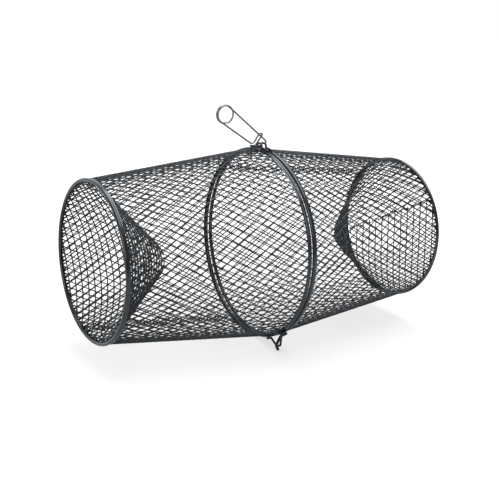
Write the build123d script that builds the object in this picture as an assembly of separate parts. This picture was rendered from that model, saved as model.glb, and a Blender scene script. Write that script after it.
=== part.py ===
from build123d import *
from math import asin, atan2, cos, degrees, hypot, radians, sin
import os

# Two-piece wire-mesh trap. X runs along the trap's axis, Z is up, and the origin is on the
# floor under the middle of the trap. All sizes are in millimetres.

# Basket halves: each is a cone frustum of mesh between two rolled rims.
END_X = 216.5            # end rim's centre line, from the middle of the trap
END_RADIUS = 90.6
MIDDLE_X = 3.05          # middle rim's centre line, from the middle of the trap
MIDDLE_RADIUS = 114.3
MESH_THICKNESS = 1.2

# Rolled rims: a split bead round a hoop wire, with a lip that lies on the mesh.
BEAD_RADIUS = 2.2
BEAD_BORE_RADIUS = 1.55
HOOP_RADIUS = 1.0
LIP_THICKNESS = 0.6
LIP_REACH = 3.2
MESH_GAP = 0.1           # between the mesh and the lip
SLOT_REACH = 4.0
END_SLOT_ANGLE = -88.0   # lower side of the bead's slot, where the funnel leaves too
MIDDLE_SLOT_ANGLE = -35.0
BODY_EDGE = 1.25         # mesh edge, from the rim's centre line

# Entry funnels.
FUNNEL_DEPTH = 81.0
THROAT_RADIUS = 17.5
FUNNEL_EDGE = 2.6        # mesh edge, from the rim's centre line
LEFT_THROAT_DROP = 6.0
RIGHT_THROAT_DROP = 3.0

# Lacing wires along the lap joints of the four mesh sheets. Angles are round the axis from
# straight up, and positive towards the front.
LACING_WIRE_RADIUS = 0.7
LACING_END = 7.5         # from the rims' centre lines
LACING_THROAT_END = 2.0
LEFT_BODY_SEAM = -161.0
RIGHT_BODY_SEAM = -48.0
LEFT_FUNNEL_SEAM = -3.0
RIGHT_FUNNEL_SEAM = 57.0

# Wire eyes on the middle rims, and the hook and eye that hinge the halves at the bottom.
EYE_WIRE_RADIUS = 1.3
WELD_GAP = 0.02
TOP_EYE_HALF_WIDTH = 4.8
TOP_EYE_RISE = 8.1       # loop's centre line above the rim's centre line
TOP_EYE_BEND = 3.0
TOP_FOOT_ANGLE = 9.0
BOTTOM_ANGLE = 149.5     # hook and eye, round the axis from straight up
BOTTOM_EYE_ROOT = 11.5
BOTTOM_EYE_TIP = 3.9
BOTTOM_EYE_RISE = 15.0
BOTTOM_EYE_BEND = 2.0
BOTTOM_FOOT_ANGLE = 10.0
FOOT_BEND = 15.0         # foot's own curve, beside the bead
ROOT_BEND = 1.5          # from the foot out into the loop
FOOT_CHORD_ANGLE = 1.5   # half the turn between a foot's points, which lie outside its arc
HOOK_WIRE_RADIUS = 1.7
HOOK_GAP = 0.35
HOOK_FOOT_ANGLE = 6.0
HOOK_FOOT_BEND = 20.0
HOOK_ROOT_BEND = 2.2
HOOK_TAIL_LEAN = 16.0    # tail leans back under the eye, from straight out

# Spring clip: one wire with a coil, a leg with a catch, and a pin leg with a bent tail.
CLIP_WIRE_RADIUS = 1.0
COIL_X = -53.0
COIL_RISE = 158.0        # above the trap's axis
COIL_RADIUS = 10.2
CLIP_LAYER = 1.3          # sideways, from the middle plane to each leg
FRAME_COIL_START = -70.0
PIN_COIL_START = 285.0
CLIP_HINGE_RISE = 119.1  # clip's end in the left eye, above the trap's axis
CATCH_FOOT = (-13.4, 121.4)   # x, and height above the trap's axis
CATCH_TOP_RISE = 134.3
CATCH_TOP_X = (-5.0, 0.9)
HINGE_END_X = (-9.8, -0.9)
CATCH_BENDS = [5.0, 1.7, 1.7, 1.3]
PIN_CORNER = (6.7, 124.9)
PIN_TIP = (6.9, 119.0)
PIN_BEND = 1.5

AXIS_HEIGHT = MIDDLE_RADIUS + BEAD_RADIUS
TAPER = degrees(atan2(MIDDLE_RADIUS - END_RADIUS, END_X - MIDDLE_X))


def lathe(profile):
    """A ring or shell turned about the trap's axis, from a profile in x and radius."""
    return revolve(Plane.XZ * profile, Axis.X, 360)


def body_mesh():
    """Left basket wall: a thin frustum between the two rims' slots."""
    length = hypot(END_X - MIDDLE_X, MIDDLE_RADIUS - END_RADIUS)
    run = length - 2 * BODY_EDGE
    wall = Pos(BODY_EDGE + run / 2, 0) * Rectangle(run, MESH_THICKNESS)
    return lathe(Pos(-END_X, END_RADIUS) * Rot(0, 0, TAPER) * wall)


def rim_profile(slot_angle):
    """Rolled rim's section at the origin, with the mesh leaving along +X."""
    lip_bottom = MESH_THICKNESS / 2 + MESH_GAP
    bead = Circle(BEAD_RADIUS) - Circle(BEAD_BORE_RADIUS)
    low = radians(slot_angle)
    slot = make_face(Polyline(
        (0, 0),
        (lip_bottom / 2, lip_bottom),
        (SLOT_REACH, lip_bottom),
        (SLOT_REACH, -SLOT_REACH / 2),
        (SLOT_REACH * cos(low), SLOT_REACH * sin(low)),
        close=True,
    ))
    lip_start = BEAD_BORE_RADIUS
    lip = Pos((lip_start + LIP_REACH) / 2, lip_bottom + LIP_THICKNESS / 2) * Rectangle(
        LIP_REACH - lip_start, LIP_THICKNESS
    )
    return bead - slot + lip


def end_rim():
    section = rim_profile(END_SLOT_ANGLE)
    return lathe(Pos(-END_X, END_RADIUS) * Rot(0, 0, TAPER) * section)


def middle_rim():
    section = mirror(rim_profile(MIDDLE_SLOT_ANGLE), Plane.YZ)
    return lathe(Pos(-MIDDLE_X, MIDDLE_RADIUS) * Rot(0, 0, TAPER) * section)


def hoop(x, radius):
    """Plain wire ring inside a rim's bead."""
    return Pos(x, 0, 0) * Rot(0, 90, 0) * Torus(radius, HOOP_RADIUS)


def funnel_disc(side, along, growth, drop):
    """Round slice of the funnel, at a share of its length from the mouth."""
    x = side * (END_X - FUNNEL_DEPTH * along)
    radius = END_RADIUS + (THROAT_RADIUS - END_RADIUS) * along + growth
    return Pos(x, 0, -drop * along) * Rot(0, 90, 0) * Circle(radius)


def funnel_mesh(side, drop):
    """Entry funnel: a thin cone from the end rim in to the throat, which sags a little."""
    slant = hypot(FUNNEL_DEPTH, END_RADIUS - THROAT_RADIUS)
    half_wall = MESH_THICKNESS / 2 * slant / FUNNEL_DEPTH
    edge = FUNNEL_EDGE / slant

    def cone(growth):
        return loft([funnel_disc(side, share, growth, drop) for share in (edge, 1)])

    return cone(half_wall) - cone(-half_wall)


def bent_wire(path, wire_radius):
    """Round wire along a path, with rounded ends."""
    start, finish = path @ 0, path @ 1
    section = Plane(origin=start, z_dir=path % 0) * Circle(wire_radius)
    rod = sweep(section, path=path)
    return rod + Pos(*start) * Sphere(wire_radius) + Pos(*finish) * Sphere(wire_radius)


def lacing(start, finish, first_gap, last_gap):
    """Straight lacing wire beside a wall that runs between two points of x and z."""
    (x, z), (far_x, far_z) = start, finish
    length = hypot(far_x - x, far_z - z)
    way = ((far_x - x) / length, (far_z - z) / length)
    stand_off = MESH_THICKNESS / 2 + WELD_GAP + LACING_WIRE_RADIUS
    rise = stand_off * abs(way[0])
    shift = -stand_off * way[1] if way[0] > 0 else stand_off * way[1]
    ends = [(x + way[0] * run + shift, 0, z + way[1] * run + rise)
            for run in (first_gap, length - last_gap)]
    return bent_wire(Line(*ends), LACING_WIRE_RADIUS)


def body_lacing(side, angle):
    wire = lacing((side * END_X, END_RADIUS), (side * MIDDLE_X, MIDDLE_RADIUS),
                  LACING_END, LACING_END)
    return Rot(angle, 0, 0) * wire


def funnel_lacing(side, angle, drop):
    """Lacing wire on the chamber side of a funnel, whose throat hangs below the axis."""
    turn = radians(angle)
    throat_z = THROAT_RADIUS - drop * cos(turn)
    wire = lacing((side * END_X, END_RADIUS), (side * (END_X - FUNNEL_DEPTH), throat_z),
                  LACING_END, LACING_THROAT_END)
    side_drop = degrees(atan2(drop * sin(turn), END_RADIUS - THROAT_RADIUS))
    return Rot(angle, 0, 0) * Pos(0, 0, END_RADIUS) * Rot(side_drop, 0, 0) * Pos(0, 0, -END_RADIUS) * wire


def on_rim(x, angle, wire_radius):
    """Point on a foot's centre line, lying on the middle rim's bead."""
    radius = MIDDLE_RADIUS + BEAD_RADIUS + wire_radius + WELD_GAP
    radius /= cos(radians(FOOT_CHORD_ANGLE))
    return (x, radius * sin(radians(angle)), radius * cos(radians(angle)))


def rim_eye(x, foot_angle, root, tip, rise, tip_bend):
    """Wire eye that stands on a middle rim, with two feet welded along the bead."""
    foot_root = degrees(root / MIDDLE_RADIUS)
    foot_angles = (foot_angle, (foot_angle + foot_root) / 2, foot_root)
    left_foot = [on_rim(x, -angle, EYE_WIRE_RADIUS) for angle in foot_angles]
    right_foot = [on_rim(x, angle, EYE_WIRE_RADIUS) for angle in reversed(foot_angles)]
    top = MIDDLE_RADIUS + rise
    loop = [(x, -tip, top), (x, tip, top)]
    radii = [FOOT_BEND, ROOT_BEND, tip_bend, tip_bend, ROOT_BEND, FOOT_BEND]
    return bent_wire(FilletPolyline(*left_foot, *loop, *right_foot, radius=radii),
                     EYE_WIRE_RADIUS)


def tangent_point(centre, radius, outside, turn):
    """Where a line from an outside point touches a circle, on the side given by turn."""
    dx, dz = outside[0] - centre[0], outside[1] - centre[1]
    reach = hypot(dx, dz)
    angle = atan2(dz, dx) + turn * (radians(90) - asin(radius / reach))
    return (centre[0] + radius * cos(angle), centre[1] + radius * sin(angle))


def crossing(first, first_way, second, second_way):
    """Where two lines meet, each given by a point and a direction in one plane."""
    (ax, az), (bx, bz) = first_way, second_way
    step = ((second[0] - first[0]) * bz - (second[1] - first[1]) * bx) / (ax * bz - az * bx)
    return (first[0] + ax * step, first[1] + az * step)


def bottom_hook():
    """Hook on the right rim, bent round the left eye's straight tip and back under it."""
    pin = (-MIDDLE_X, MIDDLE_RADIUS + BOTTOM_EYE_RISE)
    bend = EYE_WIRE_RADIUS + HOOK_GAP + HOOK_WIRE_RADIUS
    root = on_rim(MIDDLE_X, 0, HOOK_WIRE_RADIUS)
    root_corner = (root[0], root[2])
    touch = tangent_point(pin, bend, root_corner, -1)
    lean = radians(HOOK_TAIL_LEAN)
    tail_way = (sin(lean), cos(lean))
    tail_touch = (pin[0] - bend * cos(lean), pin[1] + bend * sin(lean))
    shank_way = (touch[0] - root_corner[0], touch[1] - root_corner[1])
    corner = crossing(root_corner, shank_way, tail_touch, tail_way)
    tip_rise = (AXIS_HEIGHT - HOOK_WIRE_RADIUS) / -cos(radians(BOTTOM_ANGLE))
    tip_x = tail_touch[0] + (tip_rise - tail_touch[1]) * tail_way[0] / tail_way[1]
    foot = [on_rim(MIDDLE_X, angle, HOOK_WIRE_RADIUS)
            for angle in (HOOK_FOOT_ANGLE, HOOK_FOOT_ANGLE / 2)]
    points = foot + [root, (corner[0], 0, corner[1]), (tip_x, 0, tip_rise)]
    path = FilletPolyline(*points, radius=[HOOK_FOOT_BEND, HOOK_ROOT_BEND, bend])
    return bent_wire(path, HOOK_WIRE_RADIUS)


def coil_arc(layer, start, sweep_angle):
    """Part of a coil turn in a plane beside the trap's vertical middle plane."""
    plane = Plane(origin=(COIL_X, layer, COIL_RISE), x_dir=(1, 0, 0), z_dir=(0, -1, 0))
    return plane * CenterArc((0, 0), COIL_RADIUS, start, sweep_angle)


def clip_wire(layer, coil_start, corners, radii, turn):
    """Coil turn and then straight runs through the corners given."""
    first = corners[0]
    touch = tangent_point((COIL_X, COIL_RISE), COIL_RADIUS, (first[0], first[2]), turn)
    touch_angle = degrees(atan2(touch[1] - COIL_RISE, touch[0] - COIL_X)) % 360
    arc = coil_arc(layer, coil_start, touch_angle - coil_start)
    runs = FilletPolyline((touch[0], layer, touch[1]), *corners, radius=radii)
    return bent_wire(Wire([arc.edge(), *runs.edges()]), CLIP_WIRE_RADIUS)


def clip_frame():
    """Fixed leg, with a guide loop beside the pin leg and an end held in the left eye."""
    corners = [
        (CATCH_FOOT[0], -CLIP_LAYER, CATCH_FOOT[1]),
        (CATCH_TOP_X[0], -CLIP_LAYER, CATCH_TOP_RISE),
        (CATCH_TOP_X[1], -CLIP_LAYER, CATCH_TOP_RISE),
        (HINGE_END_X[0], 0, CLIP_HINGE_RISE),
        (HINGE_END_X[1], 0, CLIP_HINGE_RISE),
    ]
    return clip_wire(-CLIP_LAYER, FRAME_COIL_START, corners, CATCH_BENDS, -1)


def clip_pin():
    """Pin leg, sprung down over the right eye, with its tail turned down behind it."""
    corners = [(x, CLIP_LAYER, rise) for x, rise in (PIN_CORNER, PIN_TIP)]
    return clip_wire(CLIP_LAYER, PIN_COIL_START, corners, [PIN_BEND], 1)


def bottom(shape):
    return Rot(BOTTOM_ANGLE, 0, 0) * shape


def build():
    left = {
        "body_mesh": body_mesh(),
        "end_rim": end_rim(),
        "end_hoop": hoop(-END_X, END_RADIUS),
        "mid_rim": middle_rim(),
        "mid_hoop": hoop(-MIDDLE_X, MIDDLE_RADIUS),
        "top_eye": rim_eye(-MIDDLE_X, TOP_FOOT_ANGLE, TOP_EYE_HALF_WIDTH,
                           TOP_EYE_HALF_WIDTH, TOP_EYE_RISE, TOP_EYE_BEND),
    }
    nodes = {}
    for name, shape in left.items():
        nodes[f"left_{name}"] = shape
        nodes[f"right_{name}"] = mirror(shape, Plane.YZ)
    for half, side, drop, body_seam, funnel_seam in (
        ("left", -1, LEFT_THROAT_DROP, LEFT_BODY_SEAM, LEFT_FUNNEL_SEAM),
        ("right", 1, RIGHT_THROAT_DROP, RIGHT_BODY_SEAM, RIGHT_FUNNEL_SEAM),
    ):
        nodes[f"{half}_funnel_mesh"] = funnel_mesh(side, drop)
        nodes[f"{half}_body_lacing"] = body_lacing(side, body_seam)
        nodes[f"{half}_funnel_lacing"] = funnel_lacing(side, funnel_seam, drop)
    nodes["left_bottom_eye"] = bottom(rim_eye(-MIDDLE_X, BOTTOM_FOOT_ANGLE, BOTTOM_EYE_ROOT,
                                              BOTTOM_EYE_TIP, BOTTOM_EYE_RISE,
                                              BOTTOM_EYE_BEND))
    nodes["right_bottom_hook"] = bottom(bottom_hook())
    nodes["clip_frame"] = clip_frame()
    nodes["clip_pin"] = clip_pin()
    return {name: Pos(0, 0, AXIS_HEIGHT) * shape for name, shape in nodes.items()}


os.makedirs("parts", exist_ok=True)
for node_name, node_shape in build().items():
    export_step(node_shape, f"parts/{node_name}.step")
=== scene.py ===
from math import atan2, cos, pi, radians, sin, sqrt

import bpy
import numpy as np
from mathutils import Matrix, Vector


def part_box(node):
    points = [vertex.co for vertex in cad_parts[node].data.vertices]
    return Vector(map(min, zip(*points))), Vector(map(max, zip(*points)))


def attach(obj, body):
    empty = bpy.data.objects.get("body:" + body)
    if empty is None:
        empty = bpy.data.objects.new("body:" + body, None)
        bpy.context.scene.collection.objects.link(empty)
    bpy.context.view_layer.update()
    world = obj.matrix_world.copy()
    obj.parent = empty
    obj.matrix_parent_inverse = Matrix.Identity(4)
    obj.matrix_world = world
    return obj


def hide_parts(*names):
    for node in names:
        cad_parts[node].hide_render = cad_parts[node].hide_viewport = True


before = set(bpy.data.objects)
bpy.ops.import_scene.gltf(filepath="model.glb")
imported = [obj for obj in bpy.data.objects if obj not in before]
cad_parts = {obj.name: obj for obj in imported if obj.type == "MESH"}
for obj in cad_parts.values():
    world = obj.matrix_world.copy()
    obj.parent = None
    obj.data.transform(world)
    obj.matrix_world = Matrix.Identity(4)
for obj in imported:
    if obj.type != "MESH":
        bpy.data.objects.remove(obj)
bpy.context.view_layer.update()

# ---- Sizes in metres and angles in degrees ----------------------------------------------

MM = 0.001

# Rims and strands.
BEAD_RADIUS = 2.2 * MM           # outside of the rolled rims
MESH_CELLS = 70                  # diamonds round each basket half
MESH_SIDE = 9.1 * MM             # side of one diamond
STRAND_RADIUS = 0.66 * MM
FUNNEL_STRAND_RADIUS = 0.76 * MM
STRAND_SIDES = 6
STRAND_START = 1.3 * MM          # strands' ends, from a rim's centre line
END_TAPER = 0.6                  # of the radius: how long a strand's rounded end is, and how thin
WALL_SAMPLES = 600               # along the slant, where the strands' turning is worked out

# Coating that pools and thickens the strands.
POOL = 1.4                       # times the radius where strands cross
POOL_REACH = 0.15                # from a crossing, as a share of a diamond's side
RIM_POOL = 1.9                   # times the radius where strands run into a rim
RIM_POOL_REACH = 3.5 * MM        # from a rim's centre line, on the funnels

# Laps, where the ends of a rolled sheet overlap, and the wires that lace them.
LAP_WIDTH = 7.0 * MM             # half the width of a wall's overlap
FUNNEL_LAP_WIDTH = 1.8 * MM      # the same on a funnel
LAP_LIFT = 1.3 * MM              # the upper layer, above the lower one
LAP_SHIFT = 0.8                  # the upper layer's strands, as a share of half a diamond
LAP_SAMPLES = 500                # along the slant
LAP_STRAND_POINTS = 6
LACING_RADIUS = 0.55 * MM
LACING_SIDES = 8
LACING_PITCH = 13.0 * MM
LACING_DEPTH = 1.6 * MM          # in and out through the layers
LACING_REACH = 2.6 * MM          # to each side of a wall's lap
FUNNEL_LACING_REACH = 1.3 * MM   # to each side of a funnel's lap
LACING_TURN_POINTS = 12
WALL_LACING = (0.04, 0.96)       # its ends, as shares of the slant from the end rim
FUNNEL_LACING = (0.09, 0.97)     # the same on a funnel

# Funnels, each rolled from a flat sheet.
FUNNEL_DEPTH = 81.0 * MM
THROAT_RADIUS = 17.5 * MM
DIAMOND_LEAN = 30.0              # strands' angle in a flat sheet, from the long diagonal
SHEET_REACH = 1.3                # strands are laid out this far, in radii of the flat sheet
STEPS = 10                       # along one side of a diamond
CROSSING_STEP = 3                # the step where strands cross
LEFT_THROAT_DROP = 6.0 * MM      # throat's centre, below the trap's axis
RIGHT_THROAT_DROP = 3.0 * MM
LEFT_SHEET_LEAN = 13.0           # long diagonal, from the line opposite the lap
RIGHT_SHEET_LEAN = 40.0

# Camera, light and floor.
CAMERA_DISTANCE = 1.117
CAMERA_AIM = (-7.0 * MM, 1.5 * MM, -9.4 * MM)     # from the middle of the trap's axis
CAMERA_AZIMUTH = 34.0            # view direction, from +Y towards +X
CAMERA_DROP = 15.85              # view direction, below level
CAMERA_ROLL = 3.2                # camera's top, towards the left
CAMERA_FIELD = 30.66
COOL_WHITE = (0.90, 0.95, 1.0)
FLOOR_REACH = 6.0                # half the floor's width
FLOOR_GREY = (0.6, 0.6, 0.6)     # as it lights the trap
FLOOR_TINT = (1.08, 1.02, 0.97)  # takes the lights' blue off the floor that is seen
# The floor's painted glow, seen only by the camera, is weakest here, so the trap's shadow shows
# darker near its middle.
GLOW_CENTRE = (0.04, 0.0, 0.0)   # where the floor's glow is weakest
GLOW_INNER = 0.08                # distances from there, between which it grows
GLOW_OUTER = 0.55
RIM_MARKS = 24                   # places round a rim that the floor stays under


def middle(node):
    low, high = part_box(node)
    return (low + high) / 2


def ring_radius(node):
    """Centre-line radius of a rim, whose bead is the widest part of its node."""
    low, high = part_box(node)
    return (high.z - low.z) / 2 - BEAD_RADIUS


AXIS_Z = middle("left_mid_rim").z
END_X = middle("right_end_hoop").x
END_RADIUS = ring_radius("right_end_rim")
MIDDLE_X = middle("right_mid_hoop").x
MIDDLE_RADIUS = ring_radius("right_mid_rim")


# ---- Shader writing ----------------------------------------------------------------------


class Value:
    """A shader socket that takes part in ordinary arithmetic."""

    def __init__(self, paint, socket):
        self.paint = paint
        self.socket = socket

    def math(self, operation, first, second):
        return self.paint.node("ShaderNodeMath", {"operation": operation}, {0: first, 1: second})

    def __add__(self, other):
        return self.math("ADD", self, other)

    def __sub__(self, other):
        return self.math("SUBTRACT", self, other)

    def __rsub__(self, other):
        return self.math("SUBTRACT", other, self)

    def __mul__(self, other):
        return self.math("MULTIPLY", self, other)

    __radd__ = __add__
    __rmul__ = __mul__


class Paint:
    """One material and its nodes."""

    def __init__(self, name):
        self.material = bpy.data.materials.new(name)
        self.material.use_nodes = True
        self.tree = self.material.node_tree
        self.shader = self.tree.nodes["Principled BSDF"]

    @classmethod
    def of_tree(cls, tree):
        """Writes nodes into a tree that isn't a material's, such as the room's."""
        made = cls.__new__(cls)
        made.tree = tree
        return made

    def set(self, node, inputs):
        for name, value in inputs.items():
            socket = node.inputs[name]
            if isinstance(value, Value):
                self.tree.links.new(value.socket, socket)
            else:
                socket.default_value = value

    def node(self, kind, settings=None, inputs=None, output=0):
        """Adds a node with these settings and socket values, and gives one of its outputs."""
        node = self.tree.nodes.new(kind)
        for name, value in (settings or {}).items():
            setattr(node, name, value)
        self.set(node, inputs or {})
        return Value(self, node.outputs[output])

    def place(self, kind="Object"):
        """Position on the surface, in metres, or as a direction from the room's middle."""
        return self.node("ShaderNodeTexCoord", output=kind)

    def seen_directly(self):
        """1 where the camera looks straight at a surface, and 0 for the light that it gives."""
        return self.node("ShaderNodeLightPath", output="Is Camera Ray")

    def noise(self, scale, detail=2.0, roughness=0.5):
        inputs = {"Vector": self.place(), "Scale": scale, "Detail": detail, "Roughness": roughness}
        return self.node("ShaderNodeTexNoise", None, inputs, "Fac")

    def between(self, factor, first, second):
        """Colour that runs from the first to the second as the factor goes from 0 to 1."""
        inputs = {"Factor": factor, "A": (*first, 1.0), "B": (*second, 1.0)}
        node = self.tree.nodes.new("ShaderNodeMix")
        node.data_type = "RGBA"
        for socket in node.inputs:
            if socket.type == "RGBA" or socket.identifier == "Factor_Float":
                value = inputs[socket.name]
                if isinstance(value, Value):
                    self.tree.links.new(value.socket, socket)
                else:
                    socket.default_value = value
        return Value(self, next(s for s in node.outputs if s.type == "RGBA"))

    def spread(self, factor, low, high, first=0.0, last=1.0):
        """Stretches the stretch from low to high out to the first and last values."""
        inputs = {"Value": factor, "From Min": low, "From Max": high,
                  "To Min": first, "To Max": last}
        return self.node("ShaderNodeMapRange", {"clamp": True}, inputs)

    def bump(self, height, strength, distance):
        inputs = {"Height": height, "Strength": strength, "Distance": distance}
        return self.node("ShaderNodeBump", None, inputs)

    def finish(self, **inputs):
        """Sets the shader's own sockets, named with _ for each space, and gives the material."""
        self.set(self.shader, {name.replace("_", " "): value for name, value in inputs.items()})
        return self.material


def dipped_coating(name, dark, light, gloss, grain, shine=0.5, wet=0.0):
    """Black plastic dip over steel: satin, a little uneven, dusty where it is thin."""
    paint = Paint(name)
    cloud = paint.spread(paint.noise(scale=55.0, detail=3.0), low=0.35, high=0.65)
    fleck = paint.spread(paint.noise(scale=900.0, roughness=0.6), low=0.45, high=0.75)
    skin = paint.noise(scale=grain, detail=3.0, roughness=0.55)
    return paint.finish(
        Base_Color=paint.between(cloud * 0.65 + fleck * 0.35, dark, light),
        Roughness=gloss + cloud * 0.10 + fleck * 0.08,
        Normal=paint.bump(skin, strength=0.35, distance=0.12 * MM),
        IOR=1.5,
        Specular_IOR_Level=shine,
        Coat_Weight=wet,
        Coat_Roughness=0.12,
    )


def drawn_steel(name, dark, light, gloss):
    """Bare drawn wire: grey, with a fine grain and a dull oxide."""
    paint = Paint(name)
    cloud = paint.spread(paint.noise(scale=140.0, detail=3.0), low=0.3, high=0.7)
    fleck = paint.spread(paint.noise(scale=1600.0, roughness=0.6), low=0.4, high=0.7)
    grain = paint.noise(scale=2400.0)
    return paint.finish(
        Base_Color=paint.between(cloud * 0.7 + fleck * 0.3, dark, light),
        Metallic=0.85 - cloud * 0.15,
        Roughness=gloss + fleck * 0.14,
        Normal=paint.bump(grain, strength=0.25, distance=0.05 * MM),
    )


MESH_PAINT = dipped_coating("mesh_coating", dark=(0.005, 0.006, 0.007),
                            light=(0.014, 0.016, 0.018), gloss=0.24, grain=1400.0, shine=0.4)
RIM_PAINT = dipped_coating("rim_coating", dark=(0.006, 0.008, 0.010),
                           light=(0.016, 0.020, 0.024), gloss=0.13, grain=500.0,
                           shine=0.42, wet=0.32)
EYE_PAINT = dipped_coating("eye_coating", dark=(0.006, 0.006, 0.007),
                           light=(0.016, 0.017, 0.018), gloss=0.28, grain=900.0)
HOOP_PAINT = drawn_steel("hoop_steel", dark=(0.22, 0.22, 0.23), light=(0.42, 0.43, 0.44),
                         gloss=0.35)
CLIP_PAINT = drawn_steel("clip_steel", dark=(0.12, 0.12, 0.118), light=(0.28, 0.28, 0.274),
                         gloss=0.22)


# ---- Wire geometry -----------------------------------------------------------------------


class Tubes:
    """Many round strands, gathered into one mesh."""

    def __init__(self, sides):
        self.sides = sides
        self.points = []
        self.faces = []
        self.count = 0

    def add(self, path, outward, radius):
        """A strand along a path. outward is roughly square to it, and radius may vary."""
        path = np.asarray(path, float)
        radius = np.broadcast_to(np.asarray(radius, float), len(path))
        along = np.gradient(path, axis=0)
        along /= np.linalg.norm(along, axis=1)[:, None]
        outward = outward - along * (outward * along).sum(1)[:, None]
        outward /= np.linalg.norm(outward, axis=1)[:, None]
        across = np.cross(along, outward)
        start = path[0] - along[0] * radius[0] * END_TAPER
        finish = path[-1] + along[-1] * radius[-1] * END_TAPER
        path = np.vstack([start, path, finish])
        radius = np.concatenate([[radius[0] * END_TAPER], radius, [radius[-1] * END_TAPER]])
        outward = np.vstack([outward[:1], outward, outward[-1:]])
        across = np.vstack([across[:1], across, across[-1:]])
        turn = np.arange(self.sides) * 2 * pi / self.sides
        rings = (path[:, None] + radius[:, None, None] * (
            outward[:, None] * np.cos(turn)[None, :, None]
            + across[:, None] * np.sin(turn)[None, :, None]))
        self.points.append(rings.reshape(-1, 3))
        step = np.arange(len(path) - 1)[:, None] * self.sides
        side = np.arange(self.sides)[None, :]
        after = (side + 1) % self.sides
        base = self.count
        quads = np.stack([base + step + side, base + step + after,
                          base + step + after + self.sides, base + step + side + self.sides], -1)
        self.faces.extend(quads.reshape(-1, 4).tolist())
        last = base + (len(path) - 1) * self.sides
        self.faces.append([base + k for k in reversed(range(self.sides))])
        self.faces.append([last + k for k in range(self.sides)])
        self.count += len(path) * self.sides

    def piece(self, name, paint):
        """One smooth object of all the strands."""
        mesh = bpy.data.meshes.new(name)
        mesh.from_pydata(np.vstack(self.points).tolist(), [], self.faces)
        mesh.materials.append(paint)
        mesh.polygons.foreach_set("use_smooth", [True] * len(mesh.polygons))
        mesh.update()
        made = bpy.data.objects.new(name, mesh)
        bpy.context.scene.collection.objects.link(made)
        return made


def runs(inside, shortest):
    """Index ranges of the unbroken stretches of a mask."""
    edges = np.flatnonzero(np.diff(np.concatenate([[False], inside, [False]]).astype(int)))
    return [(a, b) for a, b in zip(edges[::2], edges[1::2]) if b - a >= shortest]


def wrapped(angle):
    """The same angle, between half a turn each way."""
    return (angle + pi) % (2 * pi) - pi


# ---- Basket walls ------------------------------------------------------------------------


class Wall:
    """One basket half's cone. s runs along the slant, from the end rim to the middle rim."""

    def __init__(self, side):
        self.side = side
        self.length = sqrt((END_X - MIDDLE_X) ** 2 + (MIDDLE_RADIUS - END_RADIUS) ** 2)
        self.slope = (MIDDLE_RADIUS - END_RADIUS) / self.length
        self.run = (END_X - MIDDLE_X) / self.length

    def radius(self, s):
        return END_RADIUS + self.slope * s

    def outward(self, s, turn):
        """Normal of the wall. turn goes from straight up towards +Y."""
        lean = self.slope * self.side + 0 * s
        return np.stack([lean, self.run * np.sin(turn), self.run * np.cos(turn)], -1)

    def point(self, s, turn, lift=0.0):
        r = self.radius(s)
        x = self.side * (END_X - self.run * s)
        flat = np.stack([x, r * np.sin(turn), AXIS_Z + r * np.cos(turn)], -1)
        return flat + self.outward(s, turn) * np.asarray(lift)[..., None]

    def turning(self):
        """Places along the slant, and how far a strand has turned by each: the diamonds keep
        their side as the wall widens."""
        fine = np.linspace(0, self.length, WALL_SAMPLES)
        lean = pi * self.radius(fine) / (MESH_CELLS * MESH_SIDE)
        rate = lean / np.sqrt(1 - lean ** 2) / self.radius(fine)
        turned = np.concatenate([[0], np.cumsum((rate[1:] + rate[:-1]) / 2 * np.diff(fine))])
        return fine, turned

    def twist(self, s):
        return np.interp(s, *self.turning())

    def stations(self):
        """Places along the slant at each crossing and its pool's edges, and the radius there."""
        fine, turned = self.turning()
        cell = pi / MESH_CELLS
        crossings = np.arange(int(turned[-1] / cell) + 2)
        shares = (crossings[:, None] + np.array([-POOL_REACH, 0.0, POOL_REACH])).ravel() * cell
        first, last = STRAND_START, self.length - STRAND_START
        s = np.interp(shares, turned, fine)
        pooled = np.tile([1.0, POOL, 1.0], len(crossings))
        keep = (shares >= 0) & (s > first) & (s < last)
        s = np.concatenate([[first], s[keep], [last]])
        return s, STRAND_RADIUS * np.concatenate([[RIM_POOL], pooled[keep], [RIM_POOL]])


def wall_mesh(wall, name, lap_turn):
    """Crossing strands of a basket wall, with the sheet's overlap doubled at the lap."""
    net = Tubes(STRAND_SIDES)
    s, radius = wall.stations()
    turned = wall.twist(s)
    for way in (1, -1):
        for number in range(MESH_CELLS):
            turn = 2 * pi * number / MESH_CELLS + way * turned
            net.add(wall.point(s, turn), wall.outward(s, turn), radius)
    dense = np.linspace(s[1], s[-2], LAP_SAMPLES)
    turned = wall.twist(dense)
    shift = pi / MESH_CELLS * LAP_SHIFT
    for way in (1, -1):
        for number in range(MESH_CELLS):
            turn = 2 * pi * number / MESH_CELLS + way * turned + shift
            near = np.abs(wrapped(turn - lap_turn)) * wall.radius(dense) < LAP_WIDTH
            for a, b in runs(near, shortest=4):
                cut = np.unique(np.linspace(a, b - 1, LAP_STRAND_POINTS).astype(int))
                place = wall.point(dense[cut], turn[cut], np.full(len(cut), LAP_LIFT))
                net.add(place, wall.outward(dense[cut], turn[cut]), STRAND_RADIUS)
    return net.piece(name, MESH_PAINT)


def spiral(line, normals, name, reach_across):
    """Lacing wire wound along a line, through both layers of a lap."""
    line = np.asarray(line)
    length = np.linalg.norm(line[-1] - line[0])
    along = (line[-1] - line[0]) / length
    turns = length / LACING_PITCH
    share = np.linspace(0, 1, int(turns * LACING_TURN_POINTS))
    phase = share * turns * 2 * pi
    centre = line[0] + share[:, None] * (line[-1] - line[0])
    normal = normals[0] + share[:, None] * (normals[1] - normals[0])
    across = np.cross(along, normal)
    path = (centre + normal * (LAP_LIFT / 2 + LACING_DEPTH * np.sin(phase))[:, None]
            + across * (reach_across * np.cos(phase))[:, None])
    wire = Tubes(LACING_SIDES)
    wire.add(path, normal, LACING_RADIUS)
    return wire.piece(name, MESH_PAINT)


# ---- Funnels -----------------------------------------------------------------------------


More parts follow.
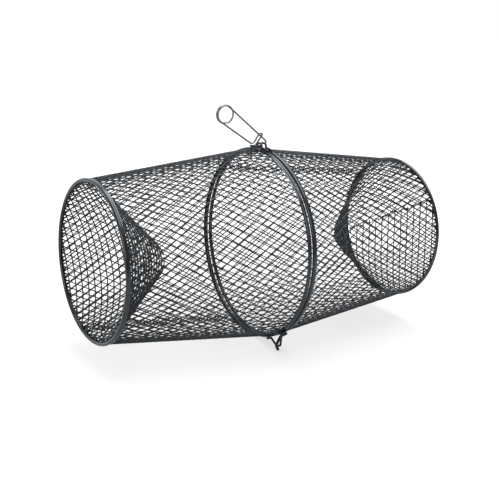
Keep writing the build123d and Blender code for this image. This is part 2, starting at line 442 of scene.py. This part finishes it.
class Cone:
    """An entry funnel rolled from a flat sheet of mesh, with a throat that hangs a little."""

    def __init__(self, side, drop, lap_turn):
        self.side = side
        self.drop = drop
        self.lap_turn = lap_turn
        self.slant = sqrt(FUNNEL_DEPTH ** 2 + (END_RADIUS - THROAT_RADIUS) ** 2)
        self.spread = (END_RADIUS - THROAT_RADIUS) / self.slant
        self.outer = END_RADIUS / self.spread
        self.inner = self.outer - self.slant
        self.half_sheet = pi * self.spread

    def point(self, reach, sheet_angle, lift=0.0):
        """From the flat sheet, as a distance from its centre and an angle from its middle."""
        share = (self.outer - reach) / self.slant
        turn = self.lap_turn + pi + sheet_angle / self.spread
        radius = reach * self.spread
        x = self.side * (END_X - FUNNEL_DEPTH * share)
        place = np.stack([x, radius * np.sin(turn),
                          AXIS_Z - self.drop * share + radius * np.cos(turn)], -1)
        return place + self.outward(sheet_angle) * np.asarray(lift)[..., None]

    def outward(self, sheet_angle):
        """Normal on the chamber side."""
        turn = self.lap_turn + pi + np.asarray(sheet_angle) / self.spread
        rise = FUNNEL_DEPTH / self.slant
        return np.stack([-self.side * self.spread + 0 * turn,
                         rise * np.sin(turn), rise * np.cos(turn)], -1)


def funnel_mesh(cone, name, sheet_lean):
    """Straight strands of a flat sheet, cut to the funnel's outline and rolled up."""
    net = Tubes(STRAND_SIDES)
    count = int(SHEET_REACH * cone.outer / MESH_SIDE)
    steps = np.arange(-count * STEPS, count * STEPS + 1)
    at_pools = np.isin(steps % STEPS, (CROSSING_STEP - 1, CROSSING_STEP, CROSSING_STEP + 1))
    leans = [radians(sheet_lean + way * DIAMOND_LEAN) for way in (1, -1)]
    ways = [np.array([cos(lean), sin(lean)]) * MESH_SIDE for lean in leans]
    lap = FUNNEL_LAP_WIDTH
    for own, other in ((0, 1), (1, 0)):
        for number in range(-count, count + 1):
            flat = (steps[:, None] / STEPS * ways[own]
                    + (number + CROSSING_STEP / STEPS) * ways[other])
            reach = np.hypot(flat[:, 0], flat[:, 1])
            angle = np.arctan2(flat[:, 1], flat[:, 0])
            over = (np.abs(angle) - cone.half_sheet) * reach
            inside = (reach > cone.inner) & (reach < cone.outer - STRAND_START) & (over < lap)
            for a, b in runs(inside, shortest=6):
                index = np.arange(a, b)
                index = index[at_pools[index] | (index == a) | (index == b - 1)]
                pooled = np.where(steps[index] % STEPS == CROSSING_STEP, POOL, 1.0)
                pooled = np.where(reach[index] > cone.outer - RIM_POOL_REACH, RIM_POOL, pooled)
                lift = LAP_LIFT * np.clip((over[index] + lap) / lap, 0, 1) * (angle[index] > 0)
                net.add(cone.point(reach[index], angle[index], lift),
                        cone.outward(angle[index]), FUNNEL_STRAND_RADIUS * pooled)
    return net.piece(name, MESH_PAINT)


def lap_turn_of(node, drop=0.0):
    """Where a lap runs, as a turn from straight up towards +Y, read from its lacing wire."""
    place = middle(node)
    return atan2(place.y, place.z + drop / 2 - AXIS_Z)


def dress_half(half, side, drop, sheet_lean):
    """Wires of one basket half's wall and funnel, in place of their CAD solids."""
    body = f"{half}_half"
    wall = Wall(side)
    lap = lap_turn_of(f"{half}_body_lacing")
    body_net = wall_mesh(wall, f"{half}_body_net", lap)
    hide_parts(f"{half}_body_mesh")
    ends = np.array(WALL_LACING) * wall.length
    turns = np.array([lap, lap])
    body_lacing = spiral(wall.point(ends, turns), wall.outward(ends, turns),
                         f"{half}_body_stitch", LACING_REACH)
    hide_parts(f"{half}_body_lacing")

    cone = Cone(side, drop, lap_turn_of(f"{half}_funnel_lacing", drop))
    funnel_net = funnel_mesh(cone, f"{half}_funnel_net", sheet_lean)
    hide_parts(f"{half}_funnel_mesh")
    reach = cone.outer - np.array(FUNNEL_LACING) * cone.slant
    angles = np.array([cone.half_sheet, cone.half_sheet])
    funnel_lacing = spiral(cone.point(reach, angles), cone.outward(angles),
                           f"{half}_funnel_stitch", FUNNEL_LACING_REACH)
    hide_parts(f"{half}_funnel_lacing")

    for piece in (body_net, body_lacing, funnel_net, funnel_lacing):
        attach(piece, body)


def paint_node(node, paint):
    """Gives a CAD node its material."""
    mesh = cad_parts[node].data
    mesh.materials.clear()
    mesh.materials.append(paint)


dress_half("left", -1, LEFT_THROAT_DROP, LEFT_SHEET_LEAN)
dress_half("right", 1, RIGHT_THROAT_DROP, RIGHT_SHEET_LEAN)
for half in ("left", "right"):
    for node in (f"{half}_end_rim", f"{half}_mid_rim"):
        paint_node(node, RIM_PAINT)
    for node in (f"{half}_end_hoop", f"{half}_mid_hoop"):
        paint_node(node, HOOP_PAINT)
    paint_node(f"{half}_top_eye", EYE_PAINT)
paint_node("left_bottom_eye", EYE_PAINT)
paint_node("right_bottom_hook", EYE_PAINT)
paint_node("clip_frame", CLIP_PAINT)
paint_node("clip_pin", CLIP_PAINT)


# ---- Studio ------------------------------------------------------------------------------


def aim(thing, place, target, roll=0.0):
    """Puts a camera or light at a place, facing a target, with its top leaning to the left."""
    ahead = (Vector(target) - Vector(place)).normalized()
    right = ahead.cross(Vector((0, 0, 1))).normalized()
    up = right.cross(ahead) * cos(roll) - right * sin(roll)
    right = ahead.cross(up)
    turn = Matrix((right, up, -ahead)).transposed().to_4x4()
    thing.matrix_world = Matrix.Translation(place) @ turn


def camera():
    data = bpy.data.cameras.new("camera")
    data.sensor_fit = "HORIZONTAL"
    data.angle = radians(CAMERA_FIELD)
    made = bpy.data.objects.new("camera", data)
    bpy.context.scene.collection.objects.link(made)
    azimuth, drop = radians(CAMERA_AZIMUTH), radians(CAMERA_DROP)
    ahead = Vector((sin(azimuth) * cos(drop), cos(azimuth) * cos(drop), -sin(drop)))
    target = Vector(CAMERA_AIM) + Vector((0, 0, AXIS_Z))
    aim(made, target - ahead * CAMERA_DISTANCE, target, radians(CAMERA_ROLL))
    bpy.context.scene.camera = made


def softbox(name, place, width, height, power):
    """A rectangular light that faces the trap."""
    data = bpy.data.lights.new(name, "AREA")
    data.shape = "RECTANGLE"
    data.size, data.size_y = width, height
    data.energy = power
    data.color = COOL_WHITE
    made = bpy.data.objects.new(name, data)
    bpy.context.scene.collection.objects.link(made)
    aim(made, Vector(place), Vector((0, 0, AXIS_Z)))


def surroundings(front, back, backdrop):
    """White room that gives more light from behind the trap. The camera sees one even white."""
    world = bpy.data.worlds.new("white_room")
    world.use_nodes = True
    room = Paint.of_tree(world.node_tree)
    way = room.node("ShaderNodeSeparateXYZ", None, {"Vector": room.place("Generated")}, "Y")
    given = room.spread(way, low=0.0, high=0.7, first=front, last=back)
    seen = room.seen_directly()
    background = world.node_tree.nodes["Background"]
    room.set(background, {"Color": room.between(seen, COOL_WHITE, (1, 1, 1)),
                          "Strength": given + seen * (backdrop - given)})
    bpy.context.scene.world = world


def stay_under(rims, body, thing):
    """Keeps a floor from rising above any place round these rims, which swing low on their body."""
    for rim in rims:
        low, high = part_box(rim)
        reach = (high.z - low.z) / 2
        for number in range(RIM_MARKS):
            turn = 2 * pi * number / RIM_MARKS
            mark = bpy.data.objects.new(f"{rim}_mark_{number}", None)
            bpy.context.scene.collection.objects.link(mark)
            mark.location = (high.x, reach * sin(turn), AXIS_Z - reach * cos(turn))
            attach(mark, body)
            limit = thing.constraints.new("FLOOR")
            limit.target = mark
            limit.floor_location = "FLOOR_NEGATIVE_Z"


def floor(shown, near_glow, far_glow):
    """Plain white floor, with a painted glow that only the camera sees. The glow thins the shadows:
    it is weakest near the trap's middle, so the shadow there stays darker, and it grows further
    out.
    """
    mesh = bpy.data.meshes.new("floor")
    corners = [(x * FLOOR_REACH, y * FLOOR_REACH, 0)
               for x, y in ((-1, -1), (1, -1), (1, 1), (-1, 1))]
    mesh.from_pydata(corners, [], [(0, 1, 2, 3)])
    made = bpy.data.objects.new("floor", mesh)
    bpy.context.scene.collection.objects.link(made)
    paint = Paint("white_floor")
    seen = paint.seen_directly()
    away = paint.node("ShaderNodeVectorMath", {"operation": "DISTANCE"},
                      {0: paint.place(), 1: GLOW_CENTRE}, "Value")
    glow = paint.spread(away, GLOW_INNER, GLOW_OUTER, near_glow, far_glow)
    tinted = tuple(shown * share for share in FLOOR_TINT)
    mesh.materials.append(paint.finish(
        Base_Color=paint.between(seen, FLOOR_GREY, tinted),
        Roughness=1.0,
        Specular_IOR_Level=0.0,
        Emission_Color=seen * glow,
        Emission_Strength=1.0,
    ))
    stay_under(("right_mid_rim", "right_end_rim"), "right_half", made)


bpy.context.scene.view_settings.view_transform = "Standard"
camera()
surroundings(front=0.3, back=1.1, backdrop=1.0)
softbox("top_light", (0.3, 0.0, 1.8), width=2.0, height=1.4, power=50.0)
softbox("left_light", (-1.6, -0.9, 0.9), width=1.0, height=1.0, power=12.0)
floor(shown=0.26, near_glow=0.645, far_glow=0.92)
